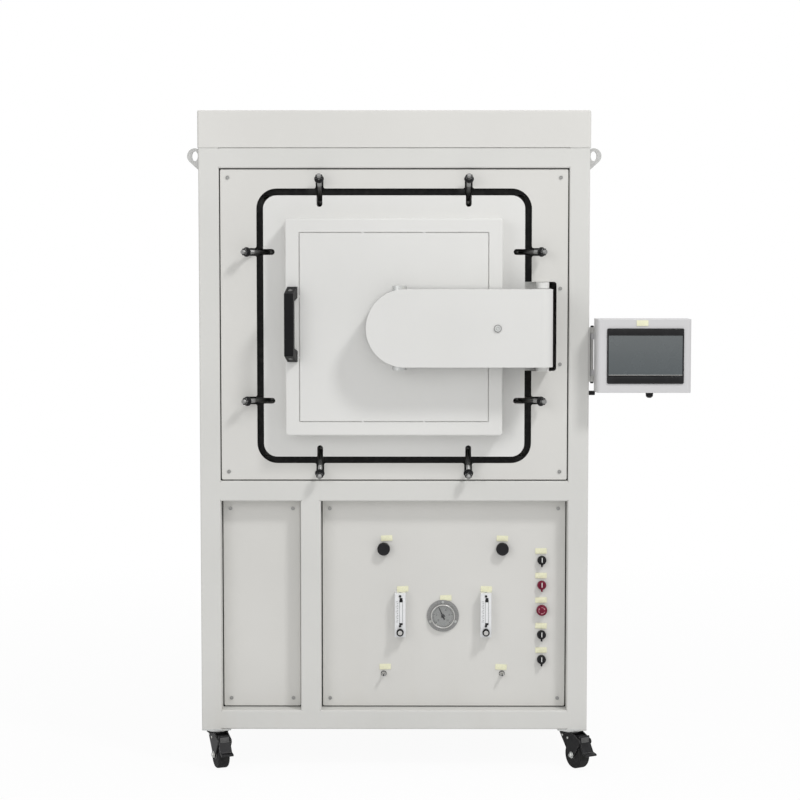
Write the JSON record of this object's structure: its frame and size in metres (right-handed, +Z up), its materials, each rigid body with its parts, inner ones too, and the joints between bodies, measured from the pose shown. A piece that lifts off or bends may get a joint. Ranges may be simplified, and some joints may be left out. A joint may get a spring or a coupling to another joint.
{
  "type": "vacuum chamber furnace",
  "caption": "Floor-standing vacuum chamber furnace: steel cabinet on casters, arm-hung door with swing bolts, touch screen, gas controls and gauge.",
  "frame": {"origin": "middle of the whole object's footprint, on the floor", "axes": "+Z up, the door faces -Y, the touch screen is on the +X side"},
  "size_m": [1.3474, 1.372, 1.786],
  "materials": {
    "frame": "light grey powder coat",
    "panel": "light grey powder coat",
    "door": "light grey enamel",
    "stainless": "brushed stainless",
    "plated": "zinc plated",
    "chamber": "ground stainless",
    "insulation": "fibre board",
    "element": "dark element",
    "hearth": "fired ceramic",
    "seal": "matt black",
    "black_plastic": "satin black",
    "red_plastic": "satin red",
    "handle": "grained black",
    "gauge": "satin grey",
    "clear": "clear",
    "bezel": "gloss black",
    "tread": "matt black",
    "black_steel": "satin black"
  },
  "bodies": {
    "root": {"frame_tubes": "frame", "top_cover": "panel", "upper_front_panel": "panel", "lower_left_panel": "panel", "control_panel": "panel", "side_panels": "panel", "back_panels": "panel", "chamber_shell": "chamber", "chamber_lining": "insulation", "heating_elements": "element", "hearth_plate": "hearth", "door_seal": "seal", "flange_lugs": "plated", "lifting_eyes": "frame", "caster_plates": "plated", "screen_bracket": "black_steel", "gauge_case": "gauge", "gauge_glass": "clear", "flowmeter_blocks": "clear", "switch_collars": "black_plastic", "pipe_fittings": "stainless", "panel_screws": "plated"},
    "arm": {"arm_frame": "plated", "arm_cover": "door"},
    "door": {"door_plate": "door", "door_box": "door", "door_handle": "handle", "door_plug": "insulation", "door_pivot_block": "plated"},
    "screen": {"screen_box": "frame", "screen_bezel": "bezel"},
    "needle": {"gauge_needle": "black_steel"},
    "stop": {"stop_button": "red_plastic"},
    "bolt_top_left": {"swing_bolt_top_left": "plated"},
    "bolt_top_right": {"swing_bolt_top_right": "plated"},
    "bolt_right_upper": {"swing_bolt_right_upper": "plated"},
    "bolt_right_lower": {"swing_bolt_right_lower": "plated"},
    "bolt_bottom_right": {"swing_bolt_bottom_right": "plated"},
    "bolt_bottom_left": {"swing_bolt_bottom_left": "plated"},
    "bolt_left_lower": {"swing_bolt_left_lower": "plated"},
    "bolt_left_upper": {"swing_bolt_left_upper": "plated"},
    "fork_front_left": {"caster_fork_front_left": "black_steel"},
    "wheel_front_left": {"caster_wheel_front_left": "tread"},
    "pedal_front_left": {"brake_pedal_front_left": "black_steel"},
    "fork_front_right": {"caster_fork_front_right": "black_steel"},
    "wheel_front_right": {"caster_wheel_front_right": "tread"},
    "pedal_front_right": {"brake_pedal_front_right": "black_steel"},
    "fork_rear_left": {"caster_fork_rear_left": "black_steel"},
    "wheel_rear_left": {"caster_wheel_rear_left": "tread"},
    "fork_rear_right": {"caster_fork_rear_right": "black_steel"},
    "wheel_rear_right": {"caster_wheel_rear_right": "tread"},
    "selector_top": {"selector_top": "black_plastic"},
    "selector_red": {"selector_red": "red_plastic"},
    "selector_lower": {"selector_lower": "black_plastic"},
    "selector_bottom": {"selector_bottom": "black_plastic"},
    "valve_left": {"valve_knob_left": "black_plastic"},
    "flow_left": {"flow_knob_left": "black_plastic"},
    "valve_right": {"valve_knob_right": "black_plastic"},
    "flow_right": {"flow_knob_right": "black_plastic"}
  },
  "joints": [
    {"name": "arm_swing", "type": "hinge", "parent": "root", "child": "arm", "pos_m": [0.28125, -0.549, 1.208], "axis": [0, 0, 1], "range_deg": [0, 90]},
    {"name": "door_align", "type": "hinge", "parent": "arm", "child": "door", "pos_m": [-0.10175, -0.636, 1.208], "axis": [0, 0, 1], "range_deg": [-1.5, 0]},
    {"name": "screen_swivel", "type": "hinge", "parent": "root", "child": "screen", "pos_m": [0.41755, -0.506, 1.132], "axis": [0, 0, 1], "range_deg": [-15, 75]},
    {"name": "stop_push", "type": "slide", "parent": "root", "child": "stop", "axis": [0, 1, 0], "range_m": [0, 0.005]},
    {"name": "needle_turn", "type": "hinge", "parent": "root", "child": "needle", "pos_m": [0.01625, -0.48, 0.41453], "axis": [0, -1, 0], "range_deg": [-160, 110]},
    {"name": "bolt_top_left_swing", "type": "hinge", "parent": "root", "child": "bolt_top_left", "pos_m": [-0.31675, -0.4518, 1.5435], "axis": [1, 0, 0], "range_deg": [0, 31]},
    {"name": "bolt_top_right_swing", "type": "hinge", "parent": "root", "child": "bolt_top_right", "pos_m": [0.08325, -0.4518, 1.5435], "axis": [1, 0, 0], "range_deg": [0, 31]},
    {"name": "bolt_right_upper_swing", "type": "hinge", "parent": "root", "child": "bolt_right_upper", "pos_m": [0.21875, -0.4518, 1.408], "axis": [0, 0, -1], "range_deg": [0, 31]},
    {"name": "bolt_right_lower_swing", "type": "hinge", "parent": "root", "child": "bolt_right_lower", "pos_m": [0.21875, -0.4518, 1.008], "axis": [0, 0, -1], "range_deg": [0, 31]},
    {"name": "bolt_bottom_right_swing", "type": "hinge", "parent": "root", "child": "bolt_bottom_right", "pos_m": [0.08325, -0.4518, 0.8725], "axis": [-1, 0, 0], "range_deg": [0, 31]},
    {"name": "bolt_bottom_left_swing", "type": "hinge", "parent": "root", "child": "bolt_bottom_left", "pos_m": [-0.31675, -0.4518, 0.8725], "axis": [-1, 0, 0], "range_deg": [0, 31]},
    {"name": "bolt_left_lower_swing", "type": "hinge", "parent": "root", "child": "bolt_left_lower", "pos_m": [-0.45225, -0.4518, 1.008], "axis": [0, 0, 1], "range_deg": [0, 31]},
    {"name": "bolt_left_upper_swing", "type": "hinge", "parent": "root", "child": "bolt_left_upper", "pos_m": [-0.45225, -0.4518, 1.408], "axis": [0, 0, 1], "range_deg": [0, 31]},
    {"name": "front_left_swivel", "type": "hinge", "parent": "root", "child": "fork_front_left", "pos_m": [-0.60225, -0.484, 0.105], "axis": [0, 0, 1], "continuous": true},
    {"name": "front_left_roll", "type": "hinge", "parent": "fork_front_left", "child": "wheel_front_left", "pos_m": [-0.59125, -0.51191, 0.0375], "axis": [0.9304, 0.3665, 0], "continuous": true},
    {"name": "front_left_brake", "type": "hinge", "parent": "fork_front_left", "child": "pedal_front_left", "pos_m": [-0.58026, -0.53982, 0.078], "axis": [0.9304, 0.3665, 0], "range_deg": [0, 15]},
    {"name": "front_right_swivel", "type": "hinge", "parent": "root", "child": "fork_front_right", "pos_m": [0.36875, -0.484, 0.105], "axis": [0, 0, 1], "continuous": true},
    {"name": "front_right_roll", "type": "hinge", "parent": "fork_front_right", "child": "wheel_front_right", "pos_m": [0.3842, -0.50972, 0.0375], "axis": [0.8572, 0.515, 0], "continuous": true},
    {"name": "front_right_brake", "type": "hinge", "parent": "fork_front_right", "child": "pedal_front_right", "pos_m": [0.39965, -0.53543, 0.078], "axis": [0.8572, 0.515, 0], "range_deg": [0, 15]},
    {"name": "rear_left_swivel", "type": "hinge", "parent": "root", "child": "fork_rear_left", "pos_m": [-0.60225, 0.586, 0.105], "axis": [0, 0, 1], "continuous": true},
    {"name": "rear_left_roll", "type": "hinge", "parent": "fork_rear_left", "child": "wheel_rear_left", "pos_m": [-0.61251, 0.61419, 0.0375], "axis": [-0.9397, -0.342, 0], "continuous": true},
    {"name": "rear_right_swivel", "type": "hinge", "parent": "root", "child": "fork_rear_right", "pos_m": [0.36875, 0.586, 0.105], "axis": [0, 0, 1], "continuous": true},
    {"name": "rear_right_roll", "type": "hinge", "parent": "fork_rear_right", "child": "wheel_rear_right", "pos_m": [0.38375, 0.61198, 0.0375], "axis": [-0.866, 0.5, 0], "continuous": true},
    {"name": "selector_top_turn", "type": "hinge", "parent": "root", "child": "selector_top", "pos_m": [0.28625, -0.48, 0.56851], "axis": [0, -1, 0], "range_deg": [-45, 45]},
    {"name": "selector_red_turn", "type": "hinge", "parent": "root", "child": "selector_red", "pos_m": [0.28625, -0.48, 0.50001], "axis": [0, -1, 0], "range_deg": [-45, 45]},
    {"name": "selector_lower_turn", "type": "hinge", "parent": "root", "child": "selector_lower", "pos_m": [0.28625, -0.48, 0.363], "axis": [0, -1, 0], "range_deg": [-45, 45]},
    {"name": "selector_bottom_turn", "type": "hinge", "parent": "root", "child": "selector_bottom", "pos_m": [0.28625, -0.48, 0.2945], "axis": [0, -1, 0], "range_deg": [-45, 45]},
    {"name": "valve_left_turn", "type": "hinge", "parent": "root", "child": "valve_left", "pos_m": [-0.14575, -0.48, 0.6], "axis": [0, -1, 0], "range_deg": [0, 720]},
    {"name": "flow_left_turn", "type": "hinge", "parent": "root", "child": "flow_left", "pos_m": [-0.10076, -0.48, 0.37399], "axis": [0, -1, 0], "range_deg": [0, 720]},
    {"name": "valve_right_turn", "type": "hinge", "parent": "root", "child": "valve_right", "pos_m": [0.17825, -0.48, 0.6], "axis": [0, -1, 0], "range_deg": [0, 720]},
    {"name": "flow_right_turn", "type": "hinge", "parent": "root", "child": "flow_right", "pos_m": [0.13326, -0.48, 0.37399], "axis": [0, -1, 0], "range_deg": [0, 720]}
  ],
  "couplings": [
    {"joint": "door_align", "follows": "arm_swing", "ratio": -0.016667}
  ]
}
